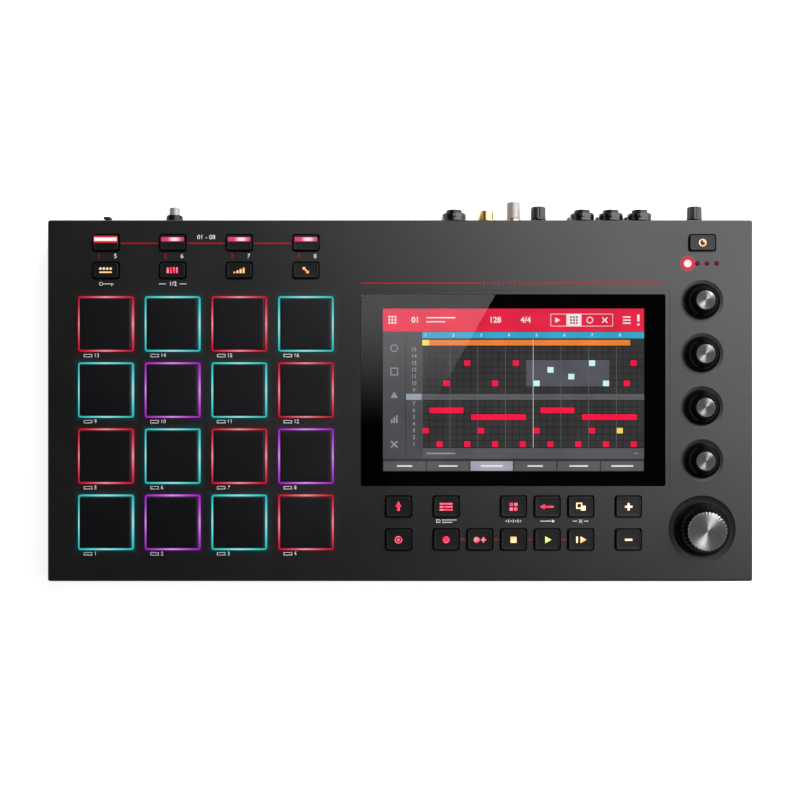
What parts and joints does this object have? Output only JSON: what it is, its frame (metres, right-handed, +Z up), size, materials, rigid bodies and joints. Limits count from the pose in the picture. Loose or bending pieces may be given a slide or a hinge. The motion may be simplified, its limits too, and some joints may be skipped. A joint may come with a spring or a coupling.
{
  "type": "drum machine",
  "caption": "Table-top drum machine: lit square pads in a grid, touch display, rows of lit keys, a column of dials and rear sockets in a low black case.",
  "frame": {"origin": "on the table, under the middle of the machine's whole box", "axes": "+X to the player's right, +Y to the rear sockets, +Z up"},
  "size_m": [0.4154, 0.2256, 0.0439],
  "materials": {
    "case_plastic": "fine matt grain, near black",
    "pan_paint": "black textured paint",
    "cover_glass": "clear gloss over black print",
    "screen_frame": "plain sheet",
    "light_guide": "clear, lit from below",
    "board_green": "solder mask",
    "battery_wrap": "shrink sleeve",
    "socket_plastic": "moulded",
    "foot_rubber": "matt",
    "pad_rubber": "matt, slightly soft",
    "key_plastic": "soft matt",
    "dial_plastic": "satin, with a spun metal cap",
    "plunger_steel": "turned",
    "button_metal": "satin",
    "nut_metal": "bright nickel",
    "screw_steel": "blackened"
  },
  "bodies": {
    "case": {"top_housing": "case_plastic", "bottom_pan": "pan_paint", "display_glass": "cover_glass", "display_module": "screen_frame", "light_guides": "light_guide", "control_board": "board_green", "main_board": "board_green", "battery_pack": "battery_wrap", "audio_sockets": "socket_plastic", "data_sockets": "socket_plastic", "rubber_feet": "foot_rubber", "case_screws": "screw_steel"},
    "pad_1": {"pad_1": "pad_rubber"},
    "pad_2": {"pad_2": "pad_rubber"},
    "pad_3": {"pad_3": "pad_rubber"},
    "pad_4": {"pad_4": "pad_rubber"},
    "pad_5": {"pad_5": "pad_rubber"},
    "pad_6": {"pad_6": "pad_rubber"},
    "pad_7": {"pad_7": "pad_rubber"},
    "pad_8": {"pad_8": "pad_rubber"},
    "pad_9": {"pad_9": "pad_rubber"},
    "pad_10": {"pad_10": "pad_rubber"},
    "pad_11": {"pad_11": "pad_rubber"},
    "pad_12": {"pad_12": "pad_rubber"},
    "pad_13": {"pad_13": "pad_rubber"},
    "pad_14": {"pad_14": "pad_rubber"},
    "pad_15": {"pad_15": "pad_rubber"},
    "pad_16": {"pad_16": "pad_rubber"},
    "bank_key_1": {"bank_key_1": "key_plastic"},
    "bank_key_2": {"bank_key_2": "key_plastic"},
    "bank_key_3": {"bank_key_3": "key_plastic"},
    "bank_key_4": {"bank_key_4": "key_plastic"},
    "mode_key_1": {"mode_key_1": "key_plastic"},
    "mode_key_2": {"mode_key_2": "key_plastic"},
    "mode_key_3": {"mode_key_3": "key_plastic"},
    "mode_key_4": {"mode_key_4": "key_plastic"},
    "assign_key": {"assign_key": "key_plastic"},
    "shift_key": {"shift_key": "key_plastic"},
    "menu_key": {"menu_key": "key_plastic"},
    "main_key": {"main_key": "key_plastic"},
    "undo_key": {"undo_key": "key_plastic"},
    "copy_key": {"copy_key": "key_plastic"},
    "plus_key": {"plus_key": "key_plastic"},
    "tap_key": {"tap_key": "key_plastic"},
    "record_key": {"record_key": "key_plastic"},
    "overdub_key": {"overdub_key": "key_plastic"},
    "stop_key": {"stop_key": "key_plastic"},
    "play_key": {"play_key": "key_plastic"},
    "play_start_key": {"play_start_key": "key_plastic"},
    "minus_key": {"minus_key": "key_plastic"},
    "param_knob_1": {"param_knob_1": "dial_plastic"},
    "param_knob_2": {"param_knob_2": "dial_plastic"},
    "param_knob_3": {"param_knob_3": "dial_plastic"},
    "param_knob_4": {"param_knob_4": "dial_plastic"},
    "data_plunger": {"data_plunger": "plunger_steel"},
    "data_knob": {"data_knob": "dial_plastic"},
    "record_level_knob": {"record_level_knob": "dial_plastic"},
    "master_level_knob": {"master_level_knob": "dial_plastic"},
    "power_button": {"power_button": "button_metal"},
    "ground_nut": {"ground_nut": "nut_metal"}
  },
  "joints": [
    {"name": "pad_1_press", "type": "slide", "parent": "case", "child": "pad_1", "axis": [0, 0, -1], "range_m": [0, 0.001], "stiffness_N_per_m": 2000, "springref_m": -0.0005},
    {"name": "pad_2_press", "type": "slide", "parent": "case", "child": "pad_2", "axis": [0, 0, -1], "range_m": [0, 0.001], "stiffness_N_per_m": 2000, "springref_m": -0.0005},
    {"name": "pad_3_press", "type": "slide", "parent": "case", "child": "pad_3", "axis": [0, 0, -1], "range_m": [0, 0.001], "stiffness_N_per_m": 2000, "springref_m": -0.0005},
    {"name": "pad_4_press", "type": "slide", "parent": "case", "child": "pad_4", "axis": [0, 0, -1], "range_m": [0, 0.001], "stiffness_N_per_m": 2000, "springref_m": -0.0005},
    {"name": "pad_5_press", "type": "slide", "parent": "case", "child": "pad_5", "axis": [0, 0, -1], "range_m": [0, 0.001], "stiffness_N_per_m": 2000, "springref_m": -0.0005},
    {"name": "pad_6_press", "type": "slide", "parent": "case", "child": "pad_6", "axis": [0, 0, -1], "range_m": [0, 0.001], "stiffness_N_per_m": 2000, "springref_m": -0.0005},
    {"name": "pad_7_press", "type": "slide", "parent": "case", "child": "pad_7", "axis": [0, 0, -1], "range_m": [0, 0.001], "stiffness_N_per_m": 2000, "springref_m": -0.0005},
    {"name": "pad_8_press", "type": "slide", "parent": "case", "child": "pad_8", "axis": [0, 0, -1], "range_m": [0, 0.001], "stiffness_N_per_m": 2000, "springref_m": -0.0005},
    {"name": "pad_9_press", "type": "slide", "parent": "case", "child": "pad_9", "axis": [0, 0, -1], "range_m": [0, 0.001], "stiffness_N_per_m": 2000, "springref_m": -0.0005},
    {"name": "pad_10_press", "type": "slide", "parent": "case", "child": "pad_10", "axis": [0, 0, -1], "range_m": [0, 0.001], "stiffness_N_per_m": 2000, "springref_m": -0.0005},
    {"name": "pad_11_press", "type": "slide", "parent": "case", "child": "pad_11", "axis": [0, 0, -1], "range_m": [0, 0.001], "stiffness_N_per_m": 2000, "springref_m": -0.0005},
    {"name": "pad_12_press", "type": "slide", "parent": "case", "child": "pad_12", "axis": [0, 0, -1], "range_m": [0, 0.001], "stiffness_N_per_m": 2000, "springref_m": -0.0005},
    {"name": "pad_13_press", "type": "slide", "parent": "case", "child": "pad_13", "axis": [0, 0, -1], "range_m": [0, 0.001], "stiffness_N_per_m": 2000, "springref_m": -0.0005},
    {"name": "pad_14_press", "type": "slide", "parent": "case", "child": "pad_14", "axis": [0, 0, -1], "range_m": [0, 0.001], "stiffness_N_per_m": 2000, "springref_m": -0.0005},
    {"name": "pad_15_press", "type": "slide", "parent": "case", "child": "pad_15", "axis": [0, 0, -1], "range_m": [0, 0.001], "stiffness_N_per_m": 2000, "springref_m": -0.0005},
    {"name": "pad_16_press", "type": "slide", "parent": "case", "child": "pad_16", "axis": [0, 0, -1], "range_m": [0, 0.001], "stiffness_N_per_m": 2000, "springref_m": -0.0005},
    {"name": "bank_key_1_press", "type": "slide", "parent": "case", "child": "bank_key_1", "axis": [0, 0, -1], "range_m": [0, 0.0008], "stiffness_N_per_m": 1500, "springref_m": -0.0005},
    {"name": "bank_key_2_press", "type": "slide", "parent": "case", "child": "bank_key_2", "axis": [0, 0, -1], "range_m": [0, 0.0008], "stiffness_N_per_m": 1500, "springref_m": -0.0005},
    {"name": "bank_key_3_press", "type": "slide", "parent": "case", "child": "bank_key_3", "axis": [0, 0, -1], "range_m": [0, 0.0008], "stiffness_N_per_m": 1500, "springref_m": -0.0005},
    {"name": "bank_key_4_press", "type": "slide", "parent": "case", "child": "bank_key_4", "axis": [0, 0, -1], "range_m": [0, 0.0008], "stiffness_N_per_m": 1500, "springref_m": -0.0005},
    {"name": "mode_key_1_press", "type": "slide", "parent": "case", "child": "mode_key_1", "axis": [0, 0, -1], "range_m": [0, 0.0008], "stiffness_N_per_m": 1500, "springref_m": -0.0005},
    {"name": "mode_key_2_press", "type": "slide", "parent": "case", "child": "mode_key_2", "axis": [0, 0, -1], "range_m": [0, 0.0008], "stiffness_N_per_m": 1500, "springref_m": -0.0005},
    {"name": "mode_key_3_press", "type": "slide", "parent": "case", "child": "mode_key_3", "axis": [0, 0, -1], "range_m": [0, 0.0008], "stiffness_N_per_m": 1500, "springref_m": -0.0005},
    {"name": "mode_key_4_press", "type": "slide", "parent": "case", "child": "mode_key_4", "axis": [0, 0, -1], "range_m": [0, 0.0008], "stiffness_N_per_m": 1500, "springref_m": -0.0005},
    {"name": "assign_key_press", "type": "slide", "parent": "case", "child": "assign_key", "axis": [0, 0, -1], "range_m": [0, 0.0008], "stiffness_N_per_m": 1500, "springref_m": -0.0005},
    {"name": "shift_key_press", "type": "slide", "parent": "case", "child": "shift_key", "axis": [0, 0, -1], "range_m": [0, 0.0008], "stiffness_N_per_m": 1500, "springref_m": -0.0005},
    {"name": "menu_key_press", "type": "slide", "parent": "case", "child": "menu_key", "axis": [0, 0, -1], "range_m": [0, 0.0008], "stiffness_N_per_m": 1500, "springref_m": -0.0005},
    {"name": "main_key_press", "type": "slide", "parent": "case", "child": "main_key", "axis": [0, 0, -1], "range_m": [0, 0.0008], "stiffness_N_per_m": 1500, "springref_m": -0.0005},
    {"name": "undo_key_press", "type": "slide", "parent": "case", "child": "undo_key", "axis": [0, 0, -1], "range_m": [0, 0.0008], "stiffness_N_per_m": 1500, "springref_m": -0.0005},
    {"name": "copy_key_press", "type": "slide", "parent": "case", "child": "copy_key", "axis": [0, 0, -1], "range_m": [0, 0.0008], "stiffness_N_per_m": 1500, "springref_m": -0.0005},
    {"name": "plus_key_press", "type": "slide", "parent": "case", "child": "plus_key", "axis": [0, 0, -1], "range_m": [0, 0.0008], "stiffness_N_per_m": 1500, "springref_m": -0.0005},
    {"name": "tap_key_press", "type": "slide", "parent": "case", "child": "tap_key", "axis": [0, 0, -1], "range_m": [0, 0.0008], "stiffness_N_per_m": 1500, "springref_m": -0.0005},
    {"name": "record_key_press", "type": "slide", "parent": "case", "child": "record_key", "axis": [0, 0, -1], "range_m": [0, 0.0008], "stiffness_N_per_m": 1500, "springref_m": -0.0005},
    {"name": "overdub_key_press", "type": "slide", "parent": "case", "child": "overdub_key", "axis": [0, 0, -1], "range_m": [0, 0.0008], "stiffness_N_per_m": 1500, "springref_m": -0.0005},
    {"name": "stop_key_press", "type": "slide", "parent": "case", "child": "stop_key", "axis": [0, 0, -1], "range_m": [0, 0.0008], "stiffness_N_per_m": 1500, "springref_m": -0.0005},
    {"name": "play_key_press", "type": "slide", "parent": "case", "child": "play_key", "axis": [0, 0, -1], "range_m": [0, 0.0008], "stiffness_N_per_m": 1500, "springref_m": -0.0005},
    {"name": "play_start_key_press", "type": "slide", "parent": "case", "child": "play_start_key", "axis": [0, 0, -1], "range_m": [0, 0.0008], "stiffness_N_per_m": 1500, "springref_m": -0.0005},
    {"name": "minus_key_press", "type": "slide", "parent": "case", "child": "minus_key", "axis": [0, 0, -1], "range_m": [0, 0.0008], "stiffness_N_per_m": 1500, "springref_m": -0.0005},
    {"name": "param_knob_1_turn", "type": "hinge", "parent": "case", "child": "param_knob_1", "pos_m": [0.17775, 0.0523, 0.0315], "axis": [0, 0, 1], "continuous": true},
    {"name": "param_knob_2_turn", "type": "hinge", "parent": "case", "child": "param_knob_2", "pos_m": [0.17775, 0.02105, 0.0315], "axis": [0, 0, 1], "continuous": true},
    {"name": "param_knob_3_turn", "type": "hinge", "parent": "case", "child": "param_knob_3", "pos_m": [0.17775, -0.0102, 0.0315], "axis": [0, 0, 1], "continuous": true},
    {"name": "param_knob_4_turn", "type": "hinge", "parent": "case", "child": "param_knob_4", "pos_m": [0.17775, -0.04145, 0.0315], "axis": [0, 0, 1], "continuous": true},
    {"name": "data_press", "type": "slide", "parent": "case", "child": "data_plunger", "axis": [0, 0, -1], "range_m": [0, 0.0008], "stiffness_N_per_m": 2500, "springref_m": -0.0006},
    {"name": "data_turn", "type": "hinge", "parent": "data_plunger", "child": "data_knob", "pos_m": [0.17775, -0.0819, 0.0315], "axis": [0, 0, 1], "continuous": true},
    {"name": "record_level_knob_turn", "type": "hinge", "parent": "case", "child": "record_level_knob", "pos_m": [0.083, 0.10015, 0.017], "axis": [0, 1, 0], "range_deg": [-150, 150]},
    {"name": "master_level_knob_turn", "type": "hinge", "parent": "case", "child": "master_level_knob", "pos_m": [0.1768, 0.10015, 0.017], "axis": [0, 1, 0], "range_deg": [-150, 150]},
    {"name": "power_press", "type": "slide", "parent": "case", "child": "power_button", "axis": [0, -1, 0], "range_m": [0, 0.0025], "stiffness_N_per_m": 800, "springref_m": -0.001},
    {"name": "ground_nut_turn", "type": "hinge", "parent": "case", "child": "ground_nut", "pos_m": [0.0681, 0.10015, 0.017], "axis": [0, 1, 0], "range_deg": [0, 360]}
  ]
}
